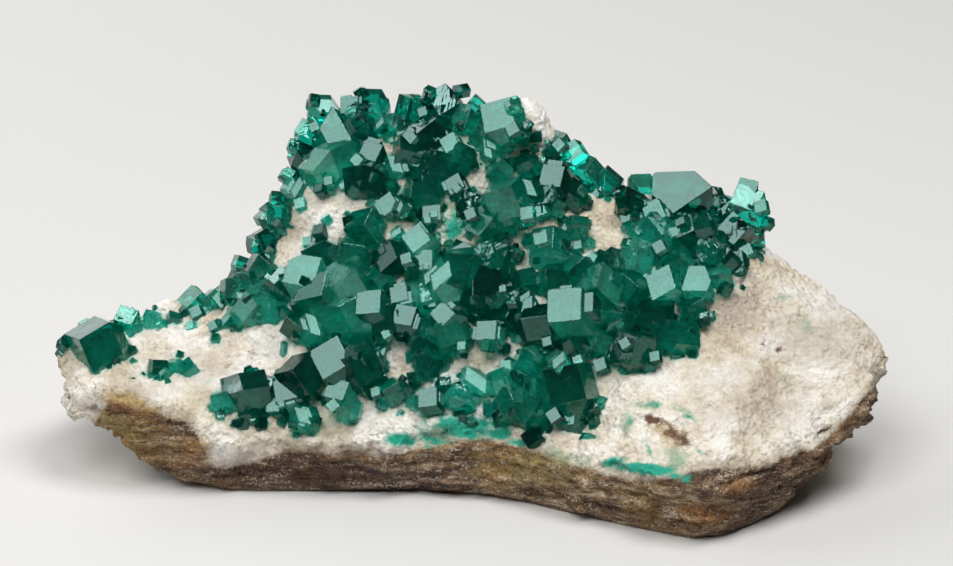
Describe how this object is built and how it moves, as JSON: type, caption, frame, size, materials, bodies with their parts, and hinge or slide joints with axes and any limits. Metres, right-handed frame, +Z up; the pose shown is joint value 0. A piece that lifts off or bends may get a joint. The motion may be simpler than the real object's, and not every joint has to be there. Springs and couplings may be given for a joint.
{
  "type": "dioptase mineral specimen on matrix",
  "caption": "Mineral specimen: green dioptase crystals grown in a mound over a white calcite crust on a brown host-rock plate.",
  "frame": {"origin": "middle of the bounding box, on the level that the stone rests on", "axes": "+Z up, +X along the length of the stone, -Y towards the side that shows the crystals"},
  "size_m": [0.1404, 0.0732, 0.0633],
  "materials": {
    "host_rock": "rough, broken",
    "calcite": "sugary, matt",
    "dioptase": "vitreous, see-through"
  },
  "bodies": {
    "root": {"calcite_crust": "calcite", "dioptase_left_end": "dioptase", "dioptase_left_ridge": "dioptase", "dioptase_left_shelf": "dioptase", "dioptase_lone": "dioptase", "dioptase_mound": "dioptase", "dioptase_right_shoulder": "dioptase", "dioptase_right_shoulder_2": "dioptase", "host_rock": "host_rock"}
  },
  "joints": []
}
